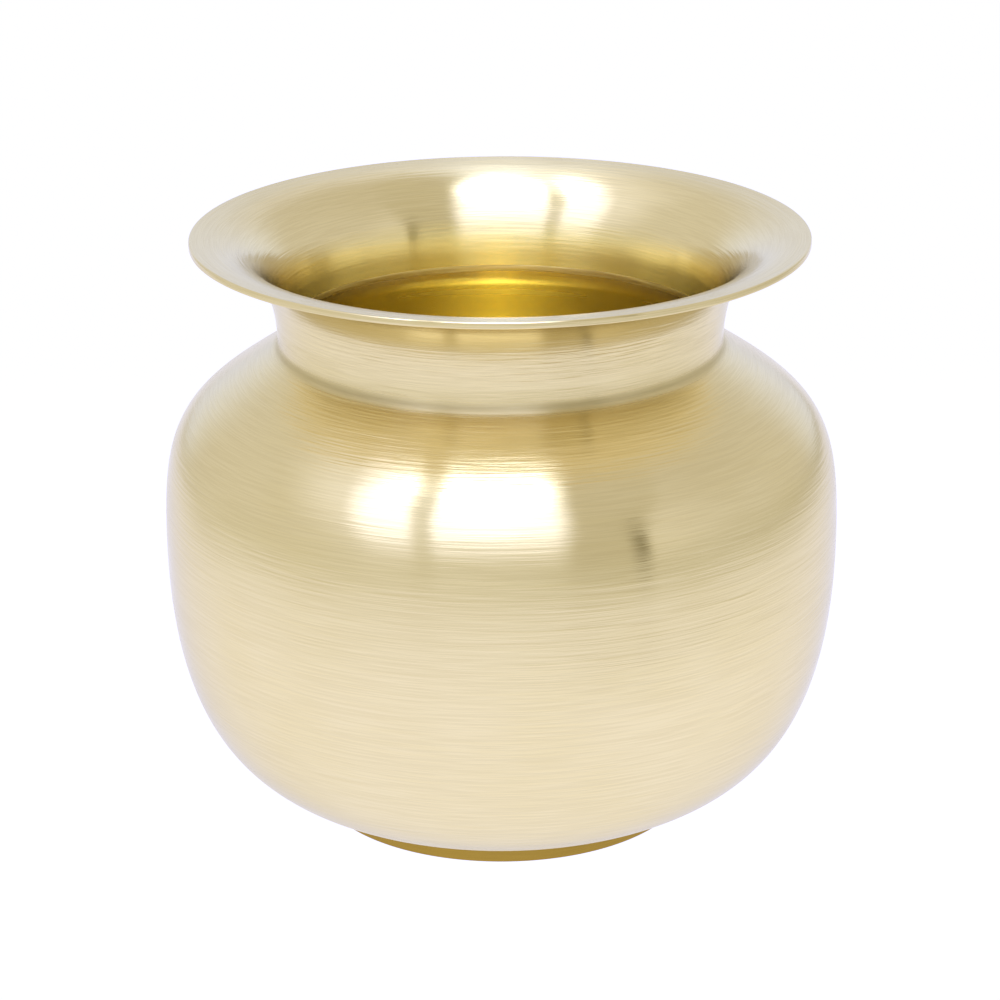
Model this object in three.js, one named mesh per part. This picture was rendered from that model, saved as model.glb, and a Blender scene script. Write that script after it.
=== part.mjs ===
// A brass lota, the round-bellied water pot of South Asia, with a flared mouth.
// It is built from spun sheet: a mouth collar, a shoulder shell and a bowl shell
// that meet in brazed half-lap seams, on a turned foot ring soldered to the bowl.
// Sizes are in millimetres. The pot stands on z = 0 and its axis is the Z axis.

import * as THREE from 'three';

// Heights, stacked from the ground up
const FOOT_HEIGHT = 4.3;
const BOWL_HEIGHT = 52.1;
const SHOULDER_HEIGHT = 39.1;
const MOUTH_HEIGHT = 20.9;

// Outside radii
const FOOT_RADIUS = 37.8;
const BELLY_RADIUS = 66.5;
const NECK_RADIUS = 43.2;
const MOUTH_RADIUS = 60;

// Sheet and lip
const SHEET = 1.2;
const LIP_THICKNESS = 1.3;
const LIP_BEVEL = 0.25;

// Slopes of the outside, above the horizontal
const HEEL_ANGLE = THREE.MathUtils.degToRad(8);
const SHOULDER_ANGLE = THREE.MathUtils.degToRad(33.5);
const NECK_BEND_RADIUS = 2;

// How long each end of a curve keeps its starting direction, as shares of its chord
const HEEL_PULL_SHARE = 0.33;
const LOWER_BELLY_PULL_SHARE = 0.54;
const UPPER_BELLY_PULL_SHARE = 0.57;
const SHOULDER_PULL_SHARE = 0.49;
const NECK_PULL_SHARE = 0.58;
const LIP_PULL_SHARE = 0.19;

// Half-lap seams between the shells
const LAP_LENGTH = 2.5;
const BRAZE_HEIGHT = 1.2;
const BRAZE_PROUD = 0.35;
const SEAM_MARGIN = 0.9;
const FIT_GAP = 0.3;

// Foot ring, its solder and the dished base
const FOOT_WIDTH = 4.2;
const FOOT_TAPER = 0.9;
const FOOT_BEVEL = 0.5;
const SOLDER_LEG = 1.6;
const SOLDER_HOLLOW_SHARE = 0.33;
const BASE_DIP = 1.5;

// Facets round the pot, and steps along each curve
const FACETS = 64;
const BASE_STEPS = 3;
const BOWL_STEPS = 11;
const BOWL_INSIDE_STEPS = 9;
const SHOULDER_STEPS = 10;
const SHOULDER_INSIDE_STEPS = 8;
const BEND_STEPS = 5;
const BEND_INSIDE_STEPS = 4;
const FLARE_STEPS = 10;
const SEARCH_STEPS = 40;

// Levels and radii that follow from the sizes above
const bellyLevel = FOOT_HEIGHT + BOWL_HEIGHT;
const neckLevel = bellyLevel + SHOULDER_HEIGHT;
const rimLevel = neckLevel + MOUTH_HEIGHT;
const tongueThickness = (SHEET - FIT_GAP) / 2;
const tongueDepth = tongueThickness + FIT_GAP;
const footInnerRadius = FOOT_RADIUS - FOOT_WIDTH;
const solderRadius = footInnerRadius - FIT_GAP;
const landRadius = solderRadius - SOLDER_LEG;

// Colour and roughness of the spun brass, the turned foot and the filler metal
const SPUN_BRASS = { color: '#d9c68c', roughness: 0.3, metalness: 1 };
const TURNED_BRASS = { color: '#b8923f', roughness: 0.28, metalness: 1 };
const BRAZE = { color: '#caa450', roughness: 0.45, metalness: 1 };

const at = (radius, height) => new THREE.Vector2(radius, height);

// A curve that leaves one point along a slope and reaches another along a second slope.
function sweep(start, startAngle, startShare, end, endAngle, endShare) {
  const chord = start.distanceTo(end);
  const leaving = at(Math.cos(startAngle), Math.sin(startAngle)).multiplyScalar(chord * startShare);
  const arriving = at(Math.cos(endAngle), Math.sin(endAngle)).multiplyScalar(chord * endShare);
  const afterStart = start.clone().add(leaving);
  const beforeEnd = end.clone().sub(arriving);
  return new THREE.CubicBezierCurve(start, afterStart, beforeEnd, end);
}

// The outside of the pot, from the foot up to the lip, as four curves
const upright = Math.PI / 2;
const inwardSlope = Math.PI - SHOULDER_ANGLE;
const bendTurn = upright - SHOULDER_ANGLE;
const bendCentre = at(NECK_RADIUS + NECK_BEND_RADIUS, neckLevel);
const bendCurve = new THREE.EllipseCurve(
  bendCentre.x, bendCentre.y, NECK_BEND_RADIUS, NECK_BEND_RADIUS,
  Math.PI + bendTurn, Math.PI, true,
);
const bellyPoint = at(BELLY_RADIUS, bellyLevel);
const bowlCurve = sweep(
  at(FOOT_RADIUS, FOOT_HEIGHT), HEEL_ANGLE, HEEL_PULL_SHARE,
  bellyPoint, upright, LOWER_BELLY_PULL_SHARE,
);
const shoulderCurve = sweep(
  bellyPoint, upright, UPPER_BELLY_PULL_SHARE,
  bendCurve.getPoint(0), inwardSlope, SHOULDER_PULL_SHARE,
);
const flareCurve = sweep(
  at(NECK_RADIUS, neckLevel), upright, NECK_PULL_SHARE,
  at(MOUTH_RADIUS - LIP_BEVEL, rimLevel - LIP_THICKNESS), 0, LIP_PULL_SHARE,
);

// The underside of the base, dished down towards the axis from the flat land on the foot
const baseCurve = new THREE.QuadraticBezierCurve(
  at(0, FOOT_HEIGHT - BASE_DIP),
  at(landRadius / 2, FOOT_HEIGHT - BASE_DIP),
  at(landRadius, FOOT_HEIGHT),
);

// How far along a rising curve a height lies, from 0 at its start to 1 at its end.
function shareAtHeight(curve, height) {
  let below = 0;
  let above = 1;
  for (let step = 0; step < SEARCH_STEPS; step += 1) {
    const middle = (below + above) / 2;
    if (curve.getPoint(middle).y < height) {
      below = middle;
    } else {
      above = middle;
    }
  }
  return (below + above) / 2;
}

// A point of the sheet, at a depth below its outside.
function inSheet(curve, share, depth) {
  const tangent = curve.getTangent(share);
  const inward = at(-tangent.y, tangent.x);
  return curve.getPoint(share).addScaledVector(inward, depth);
}

// Points along the sheet from one share of a curve to another, the depth changing evenly.
function alongSheet(curve, from, to, steps, fromDepth, toDepth) {
  const points = [];
  for (let step = 0; step <= steps; step += 1) {
    const progress = step / steps;
    const share = THREE.MathUtils.lerp(from, to, progress);
    const depth = THREE.MathUtils.lerp(fromDepth, toDepth, progress);
    points.push(inSheet(curve, share, depth));
  }
  return points;
}

// The belly seam lies just below the widest place, and the neck seam just above the bend
const bellyLedge = shareAtHeight(bowlCurve, bellyLevel - SEAM_MARGIN);
const bellyTongue = shareAtHeight(bowlCurve, bellyLevel - SEAM_MARGIN - BRAZE_HEIGHT);
const bellySeam = shareAtHeight(bowlCurve, bellyLevel - SEAM_MARGIN - BRAZE_HEIGHT - LAP_LENGTH);
const neckLedge = shareAtHeight(flareCurve, neckLevel + SEAM_MARGIN);
const neckTongue = shareAtHeight(flareCurve, neckLevel + SEAM_MARGIN + BRAZE_HEIGHT);
const neckSeam = shareAtHeight(flareCurve, neckLevel + SEAM_MARGIN + BRAZE_HEIGHT + LAP_LENGTH);

// Turns an outline round the Z axis. Its outer side is listed from the bottom up.
function turned(name, outline, closed, finish) {
  const profile = closed ? [...outline, outline[0]] : outline;
  const geometry = new THREE.LatheGeometry(profile, FACETS);
  geometry.rotateX(upright);
  const mesh = new THREE.Mesh(geometry, new THREE.MeshStandardMaterial(finish));
  mesh.name = name;
  return mesh;
}

// Mouth collar: flared mouth with a squared, bevelled lip, and a tongue inside the neck seam
function mouthCollar() {
  const outline = [
    ...alongSheet(flareCurve, neckSeam, 1, FLARE_STEPS, 0, 0),
    at(MOUTH_RADIUS, rimLevel - LIP_THICKNESS + LIP_BEVEL),
    at(MOUTH_RADIUS, rimLevel - LIP_BEVEL),
    ...alongSheet(flareCurve, 1, neckSeam, FLARE_STEPS, LIP_THICKNESS, SHEET),
    inSheet(flareCurve, neckTongue, SHEET),
    inSheet(flareCurve, neckTongue, tongueDepth),
    inSheet(flareCurve, neckSeam, tongueDepth),
  ];
  return turned('mouth_collar', outline, true, SPUN_BRASS);
}

// Shoulder shell: from the belly seam over the shoulder to the upturned neck, with the
// outer tongue of each seam
function shoulderShell() {
  const outline = [
    inSheet(bowlCurve, bellySeam, 0),
    ...alongSheet(shoulderCurve, 0, 1, SHOULDER_STEPS, 0, 0),
    ...alongSheet(bendCurve, 0, 1, BEND_STEPS, 0, 0).slice(1),
    inSheet(flareCurve, neckLedge, 0),
    inSheet(flareCurve, neckSeam, 0),
    inSheet(flareCurve, neckSeam, tongueThickness),
    inSheet(flareCurve, neckLedge, tongueThickness),
    inSheet(flareCurve, neckLedge, SHEET),
    ...alongSheet(bendCurve, 1, 0, BEND_INSIDE_STEPS, SHEET, SHEET),
    ...alongSheet(shoulderCurve, 1, 0, SHOULDER_INSIDE_STEPS, SHEET, SHEET).slice(1),
    inSheet(bowlCurve, bellyLedge, SHEET),
    inSheet(bowlCurve, bellyLedge, tongueThickness),
    inSheet(bowlCurve, bellySeam, tongueThickness),
  ];
  return turned('shoulder_shell', outline, true, SPUN_BRASS);
}

// Bowl shell: dished base, flat land for the foot, lower belly and the inner tongue
function bowlShell() {
  const innerBase = alongSheet(baseCurve, 1, 0, BASE_STEPS, SHEET, SHEET);
  innerBase[BASE_STEPS].x = 0;
  const outline = [
    ...alongSheet(baseCurve, 0, 1, BASE_STEPS, 0, 0),
    ...alongSheet(bowlCurve, 0, bellySeam, BOWL_STEPS, 0, 0),
    inSheet(bowlCurve, bellySeam, tongueDepth),
    inSheet(bowlCurve, bellyTongue, tongueDepth),
    inSheet(bowlCurve, bellyTongue, SHEET),
    ...alongSheet(bowlCurve, bellySeam, 0, BOWL_INSIDE_STEPS, SHEET, SHEET),
    ...innerBase,
  ];
  return turned('bowl_shell', outline, false, SPUN_BRASS);
}

// Foot ring: turned from thick stock, tapered inside, its standing edge bevelled
function footRing() {
  const outline = [
    at(footInnerRadius + FOOT_TAPER, 0),
    at(FOOT_RADIUS - FOOT_BEVEL, 0),
    at(FOOT_RADIUS, FOOT_BEVEL),
    at(FOOT_RADIUS, FOOT_HEIGHT),
    at(footInnerRadius, FOOT_HEIGHT),
  ];
  return turned('foot_ring', outline, true, TURNED_BRASS);
}

// A bead of braze in the groove of a seam, standing a little proud of the inside
function brazeBead(name, curve, lower, upper) {
  const outline = [
    inSheet(curve, lower, tongueDepth),
    inSheet(curve, upper, tongueDepth),
    inSheet(curve, upper, SHEET),
    inSheet(curve, (lower + upper) / 2, SHEET + BRAZE_PROUD),
    inSheet(curve, lower, SHEET),
  ];
  return turned(name, outline, true, BRAZE);
}

// Foot solder: a hollow fillet in the corner between the base and the foot ring
function footSolder() {
  const hollow = SOLDER_LEG * SOLDER_HOLLOW_SHARE;
  const outline = [
    at(solderRadius - hollow, FOOT_HEIGHT - hollow),
    at(solderRadius, FOOT_HEIGHT - SOLDER_LEG),
    at(solderRadius, FOOT_HEIGHT),
    at(landRadius, FOOT_HEIGHT),
  ];
  return turned('foot_solder', outline, true, BRAZE);
}

const lota = new THREE.Group();
lota.name = 'brass_lota';
lota.add(
  mouthCollar(),
  shoulderShell(),
  bowlShell(),
  footRing(),
  brazeBead('neck_braze', flareCurve, neckLedge, neckTongue),
  brazeBead('belly_braze', bowlCurve, bellyTongue, bellyLedge),
  footSolder(),
);

export default lota;
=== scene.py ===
"""Looks of a brass lota: spun and turned shells, foot ring and beads of braze, in metres."""

import math

import bpy
from mathutils import Matrix, Vector, noise


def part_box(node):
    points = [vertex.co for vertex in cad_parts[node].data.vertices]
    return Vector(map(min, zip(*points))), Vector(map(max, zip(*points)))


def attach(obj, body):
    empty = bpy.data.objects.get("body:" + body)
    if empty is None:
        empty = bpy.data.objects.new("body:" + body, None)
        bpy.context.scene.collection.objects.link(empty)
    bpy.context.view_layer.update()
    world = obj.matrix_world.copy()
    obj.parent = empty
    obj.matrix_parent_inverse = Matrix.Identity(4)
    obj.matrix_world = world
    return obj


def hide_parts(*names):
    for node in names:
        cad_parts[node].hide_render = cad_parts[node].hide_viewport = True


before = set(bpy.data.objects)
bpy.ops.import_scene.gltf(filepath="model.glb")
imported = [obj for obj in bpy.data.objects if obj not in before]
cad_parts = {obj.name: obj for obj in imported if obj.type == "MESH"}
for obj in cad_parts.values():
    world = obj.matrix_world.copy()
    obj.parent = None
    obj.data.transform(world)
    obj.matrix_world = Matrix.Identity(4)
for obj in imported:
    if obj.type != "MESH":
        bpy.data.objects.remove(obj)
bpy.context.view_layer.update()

MM = 0.001

# Sizes that the frame gives
FOOT_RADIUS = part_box("foot_ring")[1].x
FOOT_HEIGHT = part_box("foot_ring")[1].z
BELLY_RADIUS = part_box("shoulder_shell")[1].x
MOUTH_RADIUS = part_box("mouth_collar")[1].x
RIM_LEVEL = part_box("mouth_collar")[1].z

# Sizes of the outline and the sheet, as the solids have them
BOWL_HEIGHT = 52.1 * MM
SHOULDER_HEIGHT = 39.1 * MM
NECK_BEND_RADIUS = 2 * MM
SHEET = 1.2 * MM
LIP_THICKNESS = 1.3 * MM
HEEL_ANGLE = math.radians(8)
SHOULDER_ANGLE = math.radians(33.5)
HEEL_PULL_SHARE = 0.33
LOWER_BELLY_PULL_SHARE = 0.54
UPPER_BELLY_PULL_SHARE = 0.57
SHOULDER_PULL_SHARE = 0.49
LAP_LENGTH = 2.5 * MM
BRAZE_HEIGHT = 1.2 * MM
BRAZE_PROUD = 0.35 * MM
SEAM_MARGIN = 0.9 * MM
FIT_GAP = 0.3 * MM
FOOT_WIDTH = 4.2 * MM
FOOT_TAPER = 0.9 * MM
FOOT_ROUND = 0.5 * MM
SOLDER_LEG = 1.6 * MM
SOLDER_HOLLOW_SHARE = 0.33
BASE_DIP = 1.5 * MM

# Sizes of the flare, which is up to 0.9 mm more upright than the solid's and 0.3 mm wider at the
# neck, as the photo shows it
NECK_RADIUS = 43.5 * MM
LIP_ANGLE = math.radians(10)
NECK_PULL_SHARE = 0.8
LIP_PULL_SHARE = 0.1

# Details that the solids don't have: a rounded lip, scraped beads of braze and a crease that is
# duller, with painted shade
LIP_ROUND = 0.3 * MM
UNSCRAPED_BRAZE_SHARE = 0.2
CREASE_DROP = 0.6 * MM
CREASE_REACH = 1.8 * MM

# Heights over which the tool lines of the inner wall die out, and how far above the neck they
# start to in the collar
SHELL_FADE = 1.5 * MM
COLLAR_FADE = 11 * MM
COLLAR_FADE_RISE = 12 * MM

# Hand-made unevenness of the sheet: its depth, and how quickly it changes round the pot and up it
WOBBLE = 0.03 * MM
WOBBLE_ROUND = 1.6
WOBBLE_PER_METRE = 45

# Fineness of the meshes
SEGMENTS = 420
STEP = 0.9 * MM
BEND_STEP = STEP / 3
ROUND_STEPS = 5
CORNER_ANGLE = math.radians(20)
LENGTH_CHORDS = 16
SEARCH_STEPS = 40
TINY = 1e-7

# Sizes that follow
UPRIGHT = math.pi / 2
BELLY_LEVEL = FOOT_HEIGHT + BOWL_HEIGHT
NECK_LEVEL = BELLY_LEVEL + SHOULDER_HEIGHT
CREASE_LEVEL = NECK_LEVEL - CREASE_DROP
TONGUE = (SHEET - FIT_GAP) / 2
TONGUE_DEPTH = TONGUE + FIT_GAP
FOOT_INNER_RADIUS = FOOT_RADIUS - FOOT_WIDTH
SOLDER_RADIUS = FOOT_INNER_RADIUS - FIT_GAP
LAND_RADIUS = SOLDER_RADIUS - SOLDER_LEG


def at(radius, height):
    return Vector((radius, height))


def bezier(p0, p1, p2, p3):
    """A cubic curve, as a function from a share of it to a point and a unit tangent."""

    def curve(share):
        rest = 1 - share
        point = rest**3 * p0 + 3 * rest**2 * share * p1 + 3 * rest * share**2 * p2 + share**3 * p3
        slope = rest**2 * (p1 - p0) + 2 * rest * share * (p2 - p1) + share**2 * (p3 - p2)
        return point, slope.normalized()

    return curve


def sweep(start, start_angle, start_share, end, end_angle, end_share):
    """A curve that leaves one point along a slope and reaches another along a second slope."""
    chord = (end - start).length
    leaving = at(math.cos(start_angle), math.sin(start_angle)) * chord * start_share
    arriving = at(math.cos(end_angle), math.sin(end_angle)) * chord * end_share
    return bezier(start, start + leaving, end - arriving, end)


def arc(centre, radius, start, end):
    """A round bend, as a function from a share of it to a point and a unit tangent."""
    turn = math.copysign(1, end - start)

    def curve(share):
        angle = start + (end - start) * share
        spoke = at(math.cos(angle), math.sin(angle))
        return centre + spoke * radius, at(-spoke.y, spoke.x) * turn

    return curve


def in_sheet(curve, share, depth):
    """A point of the sheet, at a depth below its outside."""
    point, tangent = curve(share)
    return point + at(-tangent.y, tangent.x) * depth


def lengths_along(points):
    """How far along a line of points each of them lies."""
    lengths = [0.0]
    for a, b in zip(points, points[1:]):
        lengths.append(lengths[-1] + (b - a).length)
    return lengths


def along(curve, start=0, end=1, start_depth=0, end_depth=0, step=STEP):
    """Points along the sheet from one share of a curve to another."""
    chords = range(LENGTH_CHORDS + 1)
    samples = [curve(start + (end - start) * n / LENGTH_CHORDS)[0] for n in chords]
    count = max(1, math.ceil(lengths_along(samples)[-1] / step))
    points = []
    for n in range(count + 1):
        share = n / count
        depth = start_depth + (end_depth - start_depth) * share
        points.append(in_sheet(curve, start + (end - start) * share, depth))
    return points


def share_at_height(curve, height):
    """How far along a rising curve a height lies."""
    below, above = 0.0, 1.0
    for _ in range(SEARCH_STEPS):
        middle = (below + above) / 2
        if curve(middle)[0].y < height:
            below = middle
        else:
            above = middle
    return (below + above) / 2


def rounded(corner, before, after, radius):
    """A small round in place of a corner, between the points before and after it."""
    start = corner + (before - corner).normalized() * radius
    end = corner + (after - corner).normalized() * radius
    points = []
    for n in range(ROUND_STEPS + 1):
        share = n / ROUND_STEPS
        points.append((1 - share) ** 2 * start + 2 * (1 - share) * share * corner + share**2 * end)
    return points


# The outside of the pot, from the foot up to the lip
bend_turn = UPRIGHT - SHOULDER_ANGLE
bend_curve = arc(
    at(NECK_RADIUS + NECK_BEND_RADIUS, NECK_LEVEL), NECK_BEND_RADIUS, math.pi + bend_turn, math.pi
)
belly_point = at(BELLY_RADIUS, BELLY_LEVEL)
bowl_curve = sweep(
    at(FOOT_RADIUS, FOOT_HEIGHT), HEEL_ANGLE, HEEL_PULL_SHARE,
    belly_point, UPRIGHT, LOWER_BELLY_PULL_SHARE,
)
shoulder_curve = sweep(
    belly_point, UPRIGHT, UPPER_BELLY_PULL_SHARE,
    bend_curve(0)[0], math.pi - SHOULDER_ANGLE, SHOULDER_PULL_SHARE,
)
flare_curve = sweep(
    at(NECK_RADIUS, NECK_LEVEL), UPRIGHT, NECK_PULL_SHARE,
    at(MOUTH_RADIUS - LIP_ROUND, RIM_LEVEL - LIP_THICKNESS), LIP_ANGLE, LIP_PULL_SHARE,
)

# The outside of the dished base, a parabola from the axis to the land of the foot
base_low = FOOT_HEIGHT - BASE_DIP
base_curve = bezier(
    at(0, base_low), at(LAND_RADIUS / 3, base_low),
    at(LAND_RADIUS * 2 / 3, FOOT_HEIGHT - BASE_DIP * 2 / 3), at(LAND_RADIUS, FOOT_HEIGHT),
)

# The seams' steps, as shares of the curves: the ledge, the tongue's end and the seam outside
belly_ledge = share_at_height(bowl_curve, BELLY_LEVEL - SEAM_MARGIN)
belly_tongue = share_at_height(bowl_curve, BELLY_LEVEL - SEAM_MARGIN - BRAZE_HEIGHT)
belly_seam = share_at_height(bowl_curve, BELLY_LEVEL - SEAM_MARGIN - BRAZE_HEIGHT - LAP_LENGTH)
neck_ledge = share_at_height(flare_curve, NECK_LEVEL + SEAM_MARGIN)
neck_tongue = share_at_height(flare_curve, NECK_LEVEL + SEAM_MARGIN + BRAZE_HEIGHT)
neck_seam = share_at_height(flare_curve, NECK_LEVEL + SEAM_MARGIN + BRAZE_HEIGHT + LAP_LENGTH)


def clamped(value):
    """A value kept between 0 and 1."""
    return min(1.0, max(0.0, value))


def uneven(radius, azimuth, height):
    """The radius of a place on hand-finished sheet, never more than the true radius."""
    place = Vector((
        math.cos(azimuth) * WOBBLE_ROUND, math.sin(azimuth) * WOBBLE_ROUND,
        height * WOBBLE_PER_METRE,
    ))
    return radius - WOBBLE * (1 + noise.noise(place))


def turned_rings(outline, wobbly):
    """The vertices of a turned outline, and for each of its points the ring that they make."""
    vertices, rings = [], []
    for point in outline:
        start = len(vertices)
        if point.x < TINY:
            vertices.append((0, 0, point.y))
            rings.append([start] * SEGMENTS)
            continue
        for n in range(SEGMENTS):
            azimuth = 2 * math.pi * n / SEGMENTS
            radius = uneven(point.x, azimuth, point.y) if wobbly else point.x
            vertices.append((radius * math.cos(azimuth), radius * math.sin(azimuth), point.y))
        rings.append(list(range(start, start + SEGMENTS)))
    return vertices, rings


def turned_faces(rings, heights, closed):
    """The faces between neighbouring rings, and the places of their corners on the bake map."""
    pairs = list(zip(range(len(rings)), range(1, len(rings))))
    if closed:
        pairs.append((len(rings) - 1, 0))
    faces, places = [], []
    for low, high in pairs:
        v_low = heights[low]
        v_high = heights[high] if high else 1.0
        for n in range(SEGMENTS):
            m = (n + 1) % SEGMENTS
            u_near, u_far = n / SEGMENTS, (n + 1) / SEGMENTS
            corners = [
                (rings[low][n], u_near, v_low), (rings[low][m], u_far, v_low),
                (rings[high][m], u_far, v_high), (rings[high][n], u_near, v_high),
            ]
            if rings[low][n] == rings[low][m]:
                corners.pop(1)
            elif rings[high][n] == rings[high][m]:
                corners.pop(3)
            faces.append([corner[0] for corner in corners])
            places.extend((corner[1], corner[2]) for corner in corners)
    return faces, places


def mark(mesh, name, values, rings):
    """Gives each vertex the value of its ring, for the material to read."""
    spread = []
    for value, ring in zip(values, rings):
        spread.extend([value] * len(set(ring)))
    mesh.attributes.new(name, "FLOAT", "POINT").data.foreach_set("value", spread)


def turned(name, outline, node, material, smooth_below=0.0, fade=SHELL_FADE, wobbly=True):
    """Turns an outline round the Z axis. It closes on itself, or starts and ends on the axis.

    Up to its highest point it is the outer wall, and from there the inner wall. The tool lines
    of the inner wall die out below the height smooth_below.
    """
    closed = outline[0].x > TINY or outline[-1].x > TINY
    lengths = lengths_along(outline)
    total = lengths[-1] + ((outline[0] - outline[-1]).length if closed else 0)
    summit = max(range(len(outline)), key=lambda n: outline[n].y)
    outer, inner = outline[:summit + 1], outline[summit + 1:]
    lined = [1.0] * len(outer)
    lined += [clamped(1 - (smooth_below - point.y) / fade) for point in inner]
    # How much the crease under the neck is dulled and darkened with painted shade
    crease_dull_and_shaded = [clamped(1 - abs(point.y - CREASE_LEVEL) / CREASE_REACH) for point in outer]
    crease_dull_and_shaded += [0.0] * len(inner)

    vertices, rings = turned_rings(outline, wobbly)
    faces, places = turned_faces(rings, [length / total for length in lengths], closed)
    mesh = bpy.data.meshes.new(name)
    mesh.from_pydata(vertices, [], faces)
    mesh.shade_smooth()
    mesh.set_sharp_from_angle(angle=CORNER_ANGLE)
    mark(mesh, "along", lengths, rings)
    mark(mesh, "lined", lined, rings)
    mark(mesh, "crease_dull_and_shaded", crease_dull_and_shaded, rings)
    bake_map = mesh.uv_layers.new(name="OFBake")
    bake_map.data.foreach_set("uv", [value for place in places for value in place])
    mesh.materials.append(material)
    piece = bpy.data.objects.new(name, mesh)
    bpy.context.scene.collection.objects.link(piece)
    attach(piece, "root")
    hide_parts(node)


# Materials

# Colours of each brass, fresh and worn, and of the inner wall
SPUN_FRESH = (0.86, 0.745, 0.437, 1)
SPUN_WORN = (0.845, 0.725, 0.404, 1)
# The foot's brass is darkened to a deep gold as painted shade, for the shade under the belly; fresh
# and worn differ by real wear
FOOT_SHADED_FRESH = (0.42, 0.27, 0.045, 1)
FOOT_SHADED_WORN = (0.36, 0.23, 0.04, 1)
BRAZE_FRESH = (0.84, 0.69, 0.28, 1)
BRAZE_WORN = (0.73, 0.56, 0.20, 1)
INNER_WALL = (0.98, 0.82, 0.25, 1)

# Tints of the streaks, of the painted shade in the crease and of what is seen at a low angle
STREAK_TINT = (0.945, 0.935, 0.905, 1)
# Painted shade that darkens the crease under the neck
CREASE_SHADE_TINT = (0.95, 0.95, 0.92, 1)
LOW_ANGLE_TINT = (0.84, 0.84, 0.86, 1)

# Tool lines, from fine to broad: how quickly their noise changes round the pot, how quickly in a
# metre of its outline, and how many finer layers it has
HAIRLINES = (5.0, 5200, 1.0)
GROOVES = (3.5, 1700, 1.0)
WAVES = (0.9, 420, 0.0)
BANDS = (0.8, 130, 1.0)
FINER_LAYER_SHARE = 0.55
HAIRLINE_DEPTH = 0.03 * MM
GROOVE_DEPTH = 0.07 * MM
WAVE_DEPTH = 0.03 * MM

# Stains, and how the noises become wear, streaks and shallower lines
STAINS_PER_METRE = 38.0
STAIN_LAYERS = 2.0
FINER_STAIN_SHARE = 0.5
GROOVE_SHARE_OF_WEAR = 0.4
WEAR_RANGE = (0.42, 0.72)
HAIRLINE_SHARE_OF_STREAKS = 0.65
STREAK_RANGE = (0.4, 0.6)
SHALLOW_RANGE = (0.35, 0.62)
SHALLOWEST = 0.45

# What the bands, the inner wall and the crease add to the roughness
BAND_ROUGHNESS = 0.10
INNER_WALL_ROUGHNESS = 0.10
CREASE_ROUGHNESS = 0.3

# The share of a full turn from the tool lines to the way that highlights spread, across them
SPREAD_TURN = 0.25

# The sockets of a Mix node that mixes colours: its share and two colours, and its result
MIX_INPUTS = (0, 6, 7)
MIX_OUTPUT = 2


class Nodes:
    """A short way to add and join the nodes of one tree."""

    def __init__(self, tree):
        self.tree = tree
        tree.nodes.clear()

    def add(self, kind, inputs=None, **settings):
        node = self.tree.nodes.new(kind)
        for key, value in settings.items():
            setattr(node, key, value)
        for key, value in (inputs or {}).items():
            self.put(node.inputs[key], value)
        return node

    def put(self, socket, value):
        if isinstance(value, bpy.types.NodeSocket):
            self.tree.links.new(value, socket)
        else:
            socket.default_value = value

    def attribute(self, name):
        return self.add("ShaderNodeAttribute", attribute_name=name).outputs["Fac"]

    def feed(self, kind, values, **settings):
        """Adds a node and fills its inputs in their order."""
        node = self.add(kind, **settings)
        for socket, value in zip(node.inputs, values):
            self.put(socket, value)
        return node

    def math(self, operation, *values):
        return self.feed("ShaderNodeMath", values, operation=operation).outputs[0]

    def vector(self, operation, *values):
        return self.feed("ShaderNodeVectorMath", values, operation=operation)

    def product(self, first, *others):
        for other in others:
            first = self.math("MULTIPLY", first, other)
        return first

    def weighed(self, first, second, first_share):
        """A sum of two values, of which the first counts for a share and the second for the rest."""
        return self.math("MULTIPLY_ADD", first, first_share, self.product(second, 1 - first_share))

    def remap(self, value, low, high, new_low, new_high):
        node = self.add("ShaderNodeMapRange", {
            "Value": value, "From Min": low, "From Max": high, "To Min": new_low, "To Max": new_high,
        }, interpolation_type="SMOOTHSTEP")
        return node.outputs[0]

    def rise(self, value, limits):
        """A soft step from 0 to 1 between two limits."""
        return self.remap(value, *limits, 0.0, 1.0)

    def fall(self, value, limits):
        """A soft step from 1 to 0 between two limits."""
        return self.remap(value, *limits, 1.0, 0.0)

    def mix(self, share, first, second, blend="MIX"):
        node = self.add("ShaderNodeMix", data_type="RGBA", blend_type=blend)
        for number, value in zip(MIX_INPUTS, (share, first, second)):
            self.put(node.inputs[number], value)
        return node.outputs[MIX_OUTPUT]

    def tinted(self, colour, tint):
        return self.mix(1.0, colour, tint, "MULTIPLY")

    def bump(self, height, depth, under=None):
        """The normal of a relief, on top of a coarser relief's normal where there is one."""
        node = self.add("ShaderNodeBump", {"Height": height, "Distance": depth, "Strength": 1.0})
        if under is not None:
            self.put(node.inputs["Normal"], under)
        return node.outputs["Normal"]


def round_coordinate(nodes, around, per_metre):
    """A place on the turned surface: slow round the pot, quick along its outline."""
    spot = nodes.add("ShaderNodeTexCoord").outputs["Object"]
    flat = nodes.vector("MULTIPLY", spot, (1, 1, 0)).outputs[0]
    spoke = nodes.vector("NORMALIZE", flat).outputs[0]
    wide = nodes.vector("SCALE", spoke)
    nodes.put(wide.inputs["Scale"], around)
    travelled = nodes.product(nodes.attribute("along"), per_metre)
    lift = nodes.add("ShaderNodeCombineXYZ", {"Z": travelled})
    return nodes.vector("ADD", wide.outputs[0], lift.outputs[0]).outputs[0]


def tool_lines(nodes, around, per_metre, finer_layers):
    """Tool lines as a value from 0 to 1."""
    pattern = nodes.add("ShaderNodeTexNoise", {
        "Vector": round_coordinate(nodes, around, per_metre), "Scale": 1.0,
        "Detail": finer_layers, "Roughness": FINER_LAYER_SHARE,
    })
    return pattern.outputs["Fac"]


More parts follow.
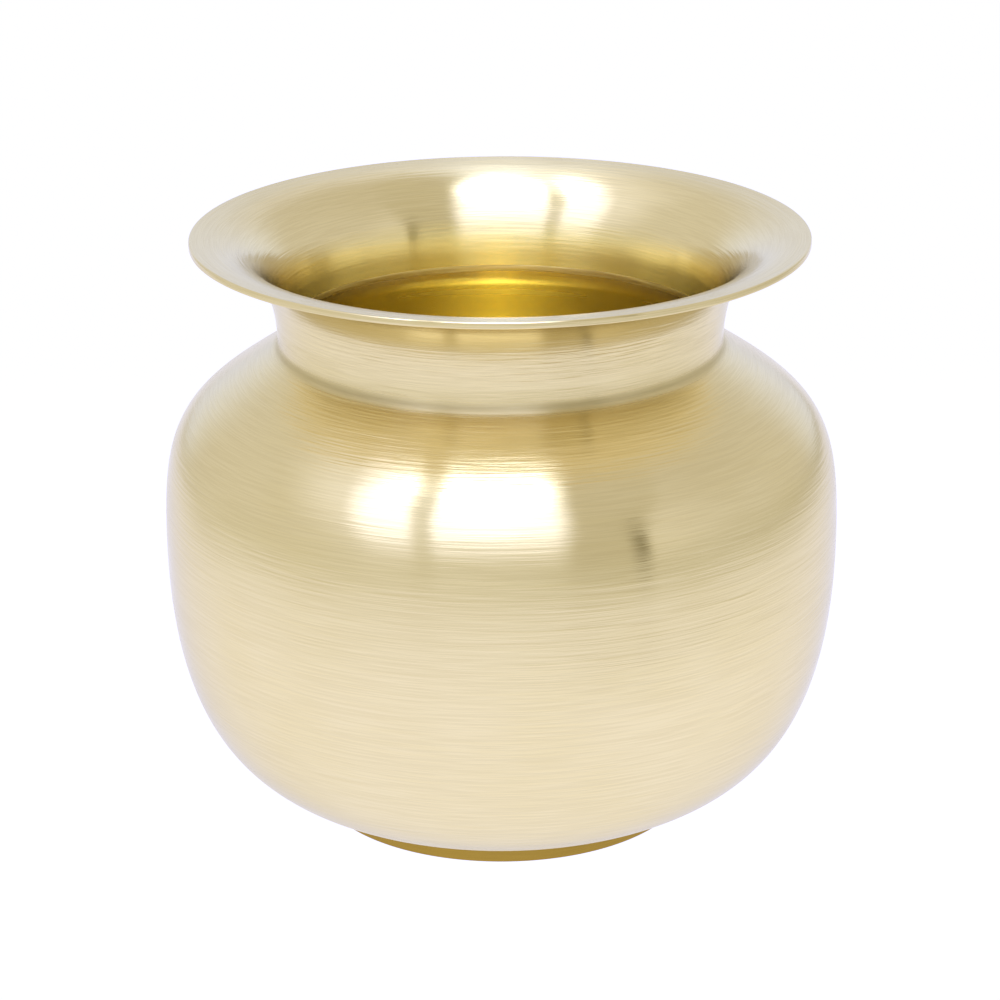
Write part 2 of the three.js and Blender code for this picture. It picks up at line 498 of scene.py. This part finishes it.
def brass(name, fresh, worn, roughness, grain, anisotropy=1.0):
    """Turned brass: tool lines from fine to broad, with faint stains, wear and streaks.

    Where the lines have died out, on the inner wall, it is duller and more golden. In the crease
    under the neck it is duller and a little grey, and its colour is darkened as painted shade.
    """
    material = bpy.data.materials.new(name)
    material.use_nodes = True
    nodes = Nodes(material.node_tree)
    hairlines = tool_lines(nodes, *HAIRLINES)
    grooves = tool_lines(nodes, *GROOVES)
    waves = tool_lines(nodes, *WAVES)
    bands = tool_lines(nodes, *BANDS)
    stains = nodes.add("ShaderNodeTexNoise", {
        "Vector": nodes.add("ShaderNodeTexCoord").outputs["Object"], "Scale": STAINS_PER_METRE,
        "Detail": STAIN_LAYERS, "Roughness": FINER_STAIN_SHARE,
    }).outputs["Fac"]
    lined = nodes.attribute("lined")
    crease_dull_and_shaded = nodes.rise(nodes.attribute("crease_dull_and_shaded"), (0.0, 1.0))

    wear = nodes.weighed(grooves, stains, GROOVE_SHARE_OF_WEAR)
    streaks = nodes.weighed(hairlines, grooves, HAIRLINE_SHARE_OF_STREAKS)
    base = nodes.mix(nodes.rise(wear, WEAR_RANGE), fresh, worn)
    base = nodes.mix(lined, INNER_WALL, base)
    base = nodes.mix(nodes.fall(streaks, STREAK_RANGE), base, nodes.tinted(base, STREAK_TINT))
    # Painted shade: the crease under the neck is darkened
    base = nodes.mix(crease_dull_and_shaded, base, nodes.tinted(base, CREASE_SHADE_TINT))

    inner = nodes.math("SUBTRACT", 1.0, lined)
    centred_bands = nodes.math("SUBTRACT", bands, 0.5)
    rough = nodes.math("MULTIPLY_ADD", centred_bands, BAND_ROUGHNESS, roughness)
    rough = nodes.math("MULTIPLY_ADD", inner, INNER_WALL_ROUGHNESS, rough)
    rough = nodes.math("MULTIPLY_ADD", crease_dull_and_shaded, CREASE_ROUGHNESS, rough)

    deep = nodes.product(nodes.remap(bands, *SHALLOW_RANGE, SHALLOWEST, 1.0), lined)
    coarse = nodes.bump(waves, WAVE_DEPTH * grain)
    middling = nodes.bump(nodes.product(grooves, deep), GROOVE_DEPTH * grain, coarse)
    fine = nodes.bump(nodes.product(hairlines, deep), HAIRLINE_DEPTH * grain, middling)

    tangent = nodes.add("ShaderNodeTangent", direction_type="RADIAL", axis="Z")
    shader = nodes.add("ShaderNodeBsdfPrincipled", {
        "Base Color": base, "Metallic": 1.0, "Roughness": rough, "Anisotropic": anisotropy,
        "Anisotropic Rotation": SPREAD_TURN, "Normal": fine, "Tangent": tangent.outputs[0],
        "Specular Tint": LOW_ANGLE_TINT,
    })
    nodes.add("ShaderNodeOutputMaterial", {"Surface": shader.outputs[0]})
    return material


spun_brass = brass("spun_brass", SPUN_FRESH, SPUN_WORN, roughness=0.16, grain=1.0)
# Painted shade: the foot ring's brass is darkened for the shade under the belly
foot_brass_painted_shade = brass("foot_brass_painted_shade", FOOT_SHADED_FRESH, FOOT_SHADED_WORN, roughness=0.26, grain=0.4)
filler = brass("braze", BRAZE_FRESH, BRAZE_WORN, roughness=0.34, grain=1.5, anisotropy=0.6)


# Pieces


def mouth_collar():
    under_corner = at(MOUTH_RADIUS, RIM_LEVEL - LIP_THICKNESS)
    top_corner = at(MOUTH_RADIUS, RIM_LEVEL)
    under = along(flare_curve, neck_seam, 1)
    top = along(flare_curve, 1, neck_seam, LIP_THICKNESS, SHEET)
    outline = [
        *under[:-1],
        *rounded(under_corner, under[-1], top_corner, LIP_ROUND),
        *rounded(top_corner, under_corner, top[0], LIP_ROUND),
        *top[1:],
        in_sheet(flare_curve, neck_tongue, SHEET),
        in_sheet(flare_curve, neck_tongue, TONGUE_DEPTH),
        in_sheet(flare_curve, neck_seam, TONGUE_DEPTH),
    ]
    turned("mouth_collar_spun", outline, "mouth_collar", spun_brass,
           smooth_below=NECK_LEVEL + COLLAR_FADE_RISE, fade=COLLAR_FADE)


def shoulder_shell():
    outline = [
        *along(bowl_curve, belly_seam, 1),
        *along(shoulder_curve)[1:],
        *along(bend_curve, step=BEND_STEP)[1:],
        *along(flare_curve, 0, neck_seam)[1:],
        *along(flare_curve, neck_seam, neck_ledge, TONGUE, TONGUE),
        *along(flare_curve, neck_ledge, 0, SHEET, SHEET),
        *along(bend_curve, 1, 0, SHEET, SHEET, BEND_STEP)[1:],
        *along(shoulder_curve, 1, 0, SHEET, SHEET)[1:],
        *along(bowl_curve, 1, belly_ledge, SHEET, SHEET)[1:],
        *along(bowl_curve, belly_ledge, belly_seam, TONGUE, TONGUE),
    ]
    turned("shoulder_shell_spun", outline, "shoulder_shell", spun_brass,
           smooth_below=NECK_LEVEL)


def bowl_shell():
    land = at(LAND_RADIUS, FOOT_HEIGHT + SHEET)
    inside = along(base_curve, 1, 0, SHEET, SHEET)
    inside[-1].x = 0
    outline = [
        *along(base_curve),
        *along(bowl_curve, 0, belly_seam),
        *along(bowl_curve, belly_seam, belly_tongue, TONGUE_DEPTH, TONGUE_DEPTH),
        *along(bowl_curve, belly_tongue, 0, SHEET, SHEET),
        land,
        *inside[1:],
    ]
    turned("bowl_shell_spun", outline, "bowl_shell", spun_brass,
           smooth_below=NECK_LEVEL)


def foot_ring():
    foot_corner = at(FOOT_RADIUS, 0)
    top_corner = at(FOOT_RADIUS, FOOT_HEIGHT)
    inner_foot = at(FOOT_INNER_RADIUS + FOOT_TAPER, 0)
    outline = [
        inner_foot,
        *rounded(foot_corner, inner_foot, top_corner, FOOT_ROUND),
        top_corner,
        at(FOOT_INNER_RADIUS, FOOT_HEIGHT),
    ]
    # The foot ring gets the brass that is darkened with painted shade
    turned("foot_ring_turned", outline, "foot_ring", foot_brass_painted_shade, wobbly=False)


def braze_bead(name, node, curve, lower, upper):
    outline = [
        in_sheet(curve, lower, TONGUE_DEPTH),
        in_sheet(curve, upper, TONGUE_DEPTH),
        in_sheet(curve, upper, SHEET),
        in_sheet(curve, (lower + upper) / 2, SHEET + BRAZE_PROUD * UNSCRAPED_BRAZE_SHARE),
        in_sheet(curve, lower, SHEET),
    ]
    turned(name, outline, node, filler)


def foot_solder():
    hollow = SOLDER_LEG * SOLDER_HOLLOW_SHARE
    outline = [
        at(SOLDER_RADIUS - hollow, FOOT_HEIGHT - hollow),
        at(SOLDER_RADIUS, FOOT_HEIGHT - SOLDER_LEG),
        at(SOLDER_RADIUS, FOOT_HEIGHT),
        at(LAND_RADIUS, FOOT_HEIGHT),
    ]
    turned("foot_solder_fillet", outline, "foot_solder", filler, wobbly=False)


mouth_collar()
shoulder_shell()
bowl_shell()
foot_ring()
braze_bead("neck_braze_bead", "neck_braze", flare_curve, neck_ledge, neck_tongue)
braze_bead("belly_braze_bead", "belly_braze", bowl_curve, belly_tongue, belly_ledge)
foot_solder()


# Floor

FLOOR_HALF = 4.0
FLOOR_NEAR = (1.02, 1.025, 1.26, 1)
FLOOR_FAR = (0.749, 0.73, 0.702, 1)
FLOOR_FAR_RIGHT = (0.618, 0.595, 0.54, 1)
FLOOR_BEHIND = (1.0, 1.0, 1.17, 1)

# Where its tones fade, in metres, and how much wider the near tone gets per metre behind the pot
FLOOR_FADE = (0.12, 0.47)
FLOOR_BEHIND_FADE = (0.10, 0.30)
FLOOR_RIGHT_FADE = (-0.2, 0.6)
WIDENING = 0.16


def floor():
    """A plain pale plane that glows white near the pot and behind it."""
    mesh = bpy.data.meshes.new("floor")
    corners = [(-1, -1), (1, -1), (1, 1), (-1, 1)]
    mesh.from_pydata([(x * FLOOR_HALF, y * FLOOR_HALF, 0) for x, y in corners], [], [(0, 1, 2, 3)])
    material = bpy.data.materials.new("floor_white")
    material.use_nodes = True
    nodes = Nodes(material.node_tree)
    parts = nodes.add("ShaderNodeSeparateXYZ", {
        "Vector": nodes.add("ShaderNodeTexCoord").outputs["Object"],
    })
    x, y = parts.outputs["X"], parts.outputs["Y"]

    behind = nodes.math("MAXIMUM", y, 0.0)
    before = nodes.math("MINIMUM", y, 0.0)
    widened = nodes.math("MULTIPLY_ADD", behind, -WIDENING, nodes.math("ABSOLUTE", x))
    beside = nodes.math("MAXIMUM", widened, 0.0)
    spread = nodes.add("ShaderNodeCombineXYZ", {"X": beside, "Y": before})
    away = nodes.vector("LENGTH", spread.outputs[0]).outputs["Value"]
    near = nodes.fall(away, FLOOR_FADE)

    far = nodes.mix(nodes.rise(x, FLOOR_RIGHT_FADE), FLOOR_FAR, FLOOR_FAR_RIGHT)
    tone = nodes.mix(near, far, FLOOR_NEAR)
    open_back = nodes.product(nodes.rise(y, FLOOR_BEHIND_FADE), near)
    tone = nodes.mix(open_back, tone, FLOOR_BEHIND)
    glow = nodes.add("ShaderNodeEmission", {"Color": tone, "Strength": 1.0})
    nodes.add("ShaderNodeOutputMaterial", {"Surface": glow.outputs[0]})
    mesh.materials.append(material)
    plane = bpy.data.objects.new("floor", mesh)
    bpy.context.scene.collection.objects.link(plane)


# Light: a soft white tent with straight-edged panels

# Each edge is a plane through the pot, given by its normal. Each fade lies between two values of
# a direction's x, y or z, or of its product with an edge's normal.

# Walls of the tent
LEFT_TONE = (0.768, 0.749, 0.756, 1)
RIGHT_TONE = (0.739, 0.72, 0.729, 1)
RIGHT_HIGH_TONE = (0.683, 0.653, 0.63, 1)
FRONT_TONE = (0.693, 0.672, 0.639, 1)
RIGHT_FADE = (-0.3, 0.3)
RIGHT_HIGH_FADE = (0.3, 0.85)
FRONT_FADE = (-0.97, -0.80)
FRONT_TOP_FADE = (0.0, 0.3)

# A screen low on the right, with a dark fold along its front edge
SCREEN_TOP_EDGE = (1, 0.72, -0.62)
SCREEN_FRONT_EDGE = (1, 1.2, 0)
SCREEN_TONE = (0.824, 0.806, 0.846, 1)
SCREEN_TOP_FADE = (0.0, 0.08)
SCREEN_FRONT_FADE = (-0.02, 0.05)
SCREEN_BACK_FADE = (-0.6, 0.0)
FOLD_TONE = (0.262, 0.24, 0.18, 1)
FOLD_START_FADE = (-0.22, -0.08)
FOLD_END_FADE = (-0.04, 0.0)
FOLD_TOP_FADE = (0.25, 0.55)
FOLD_LEFT_FADE = (0.0, 0.2)

# Darker cloth between the screen and the roof
DARK_TONE = (0.627, 0.595, 0.54, 1)
DARK_HIGH_TONE = (0.665, 0.634, 0.594, 1)
DARK_FADE = (-0.02, 0.12)
DARK_HIGH_FADE = (0.4, 0.8)

# The back wall, and a narrow strip above it
BACK_TONE = (0.94, 1, 1.28, 1)
BACK_FADE = (0.60, 0.92)
BACK_TOP_FADE = (0.12, 0.68)
BACK_STRIP_TONE = (0.98, 1.04, 1.35, 1)
BACK_STRIP_FRONT_FADE = (0.0, 0.2)
BACK_STRIP_SIDE_FADE = (0.03, 0.14)
BACK_STRIP_LOW_FADE = (0.45, 0.65)

# The bright roof and, past a seam, the strip left of it, and the light that spills beside them
ROOF_RIGHT_EDGE = (1, 0.34, -0.12)
ROOF_BACK_EDGE = (0, 1, -0.33)
SEAM = (-1, 0.42, -0.21)
STRIP_LEFT_EDGE = (-1, 0.98, -0.65)
BRIGHT_TONE = (1.78, 1.87, 2.61, 1)
BRIGHTEST_TONE = (5.6, 6.1, 8.28, 1)
ROOF_RIGHT_FADE = (-0.08, 0.09)
ROOF_BACK_FADE = (-0.05, 0.12)
ROOF_SEAM_FADE = (-0.10, -0.02)
STRIP_SEAM_FADE = (0.02, 0.10)
STRIP_LEFT_FADE = (-0.25, 0.10)
SPILL_SEAM_FADE = (-0.10, 0.10)
SPILL_LEFT_FADE = (0.0, 0.60)
SPILL_SHARE = 0.25
BRIGHT_LOW_FADE = (0.02, 0.72)
BRIGHTEST_FADE = (0.90, 0.97)


class Tent(Nodes):
    """The nodes of the light tent, which give each direction its tone."""

    def __init__(self, tree):
        super().__init__(tree)
        self.way = self.add("ShaderNodeTexCoord").outputs["Generated"]
        parts = self.add("ShaderNodeSeparateXYZ", {"Vector": self.way})
        self.x, self.y, self.z = (parts.outputs[axis] for axis in "XYZ")

    def past(self, edge):
        """How far a direction lies past an edge."""
        return self.vector("DOT_PRODUCT", self.way, edge).outputs["Value"]

    def walls(self):
        right_wall = self.mix(self.rise(self.z, RIGHT_HIGH_FADE), RIGHT_TONE, RIGHT_HIGH_TONE)
        tone = self.mix(self.rise(self.x, RIGHT_FADE), LEFT_TONE, right_wall)
        front = self.product(self.fall(self.y, FRONT_FADE), self.fall(self.z, FRONT_TOP_FADE))
        return self.mix(front, tone, FRONT_TONE)

    def screen(self, tone):
        """Adds the screen, the darker cloth beside it and the fold."""
        past_front = self.past(SCREEN_FRONT_EDGE)
        screen = self.product(
            self.rise(self.past(SCREEN_TOP_EDGE), SCREEN_TOP_FADE),
            self.rise(past_front, SCREEN_FRONT_FADE),
        )
        tone = self.mix(self.product(screen, self.fall(self.y, SCREEN_BACK_FADE)), tone, SCREEN_TONE)
        dark = self.product(
            self.rise(self.past(ROOF_RIGHT_EDGE), DARK_FADE), self.math("SUBTRACT", 1.0, screen)
        )
        dark_tone = self.mix(self.rise(self.z, DARK_HIGH_FADE), DARK_TONE, DARK_HIGH_TONE)
        tone = self.mix(dark, tone, dark_tone)
        fold = self.product(
            self.rise(past_front, FOLD_START_FADE), self.fall(past_front, FOLD_END_FADE),
            self.fall(self.z, FOLD_TOP_FADE), self.rise(self.x, FOLD_LEFT_FADE),
        )
        return self.mix(fold, tone, FOLD_TONE)

    def back(self, tone):
        """Adds the back wall and the strip above it."""
        wall = self.product(self.rise(self.y, BACK_FADE), self.fall(self.z, BACK_TOP_FADE))
        strip = self.product(
            self.rise(self.y, BACK_STRIP_FRONT_FADE),
            self.fall(self.math("ABSOLUTE", self.x), BACK_STRIP_SIDE_FADE),
            self.rise(self.z, BACK_STRIP_LOW_FADE),
        )
        return self.mix(strip, self.mix(wall, tone, BACK_TONE), BACK_STRIP_TONE)

    def roof(self, tone):
        """Adds the bright roof, the strip left of it and the spilled light."""
        past_seam = self.past(SEAM)
        past_strip = self.past(STRIP_LEFT_EDGE)
        roof = self.product(
            self.fall(self.past(ROOF_RIGHT_EDGE), ROOF_RIGHT_FADE),
            self.fall(past_seam, ROOF_SEAM_FADE),
            self.fall(self.past(ROOF_BACK_EDGE), ROOF_BACK_FADE),
        )
        strip = self.product(
            self.rise(past_seam, STRIP_SEAM_FADE), self.fall(past_strip, STRIP_LEFT_FADE)
        )
        spill = self.product(
            self.rise(past_seam, SPILL_SEAM_FADE), self.fall(past_strip, SPILL_LEFT_FADE),
            SPILL_SHARE,
        )
        lit = self.math("MAXIMUM", self.math("ADD", roof, strip), spill)
        lit = self.product(lit, self.rise(self.z, BRIGHT_LOW_FADE))
        bright = self.mix(self.rise(self.z, BRIGHTEST_FADE), BRIGHT_TONE, BRIGHTEST_TONE)
        return self.mix(lit, tone, bright)


def studio_light():
    world = bpy.data.worlds.new("studio")
    bpy.context.scene.world = world
    world.use_nodes = True
    tent = Tent(world.node_tree)
    tone = tent.roof(tent.back(tent.screen(tent.walls())))
    background = tent.add("ShaderNodeBackground", {"Color": tone, "Strength": 1.0})
    tent.add("ShaderNodeOutputWorld", {"Surface": background.outputs[0]})


# Camera, as worked out from the outline of the pot in the photo

PHOTO_PIXELS = 1000
FOCAL_PIXELS = 3212
SHIFT_PIXELS = -1.4
SENSOR_WIDTH = 36
LENS_HEIGHT = 0.2817
LENS_BACK = 0.6
PITCH = math.radians(20.176)
ROLL = math.radians(-0.3)


def camera():
    data = bpy.data.cameras.new("camera")
    data.sensor_width = SENSOR_WIDTH
    data.lens = FOCAL_PIXELS * SENSOR_WIDTH / PHOTO_PIXELS
    data.shift_x = SHIFT_PIXELS / PHOTO_PIXELS
    eye = bpy.data.objects.new("camera", data)
    turn = Matrix.Rotation(UPRIGHT - PITCH, 4, "X") @ Matrix.Rotation(ROLL, 4, "Z")
    eye.matrix_world = Matrix.Translation((0, -LENS_BACK, LENS_HEIGHT)) @ turn
    bpy.context.scene.collection.objects.link(eye)
    bpy.context.scene.camera = eye


floor()
studio_light()
camera()
bpy.context.scene.view_settings.view_transform = "Standard"
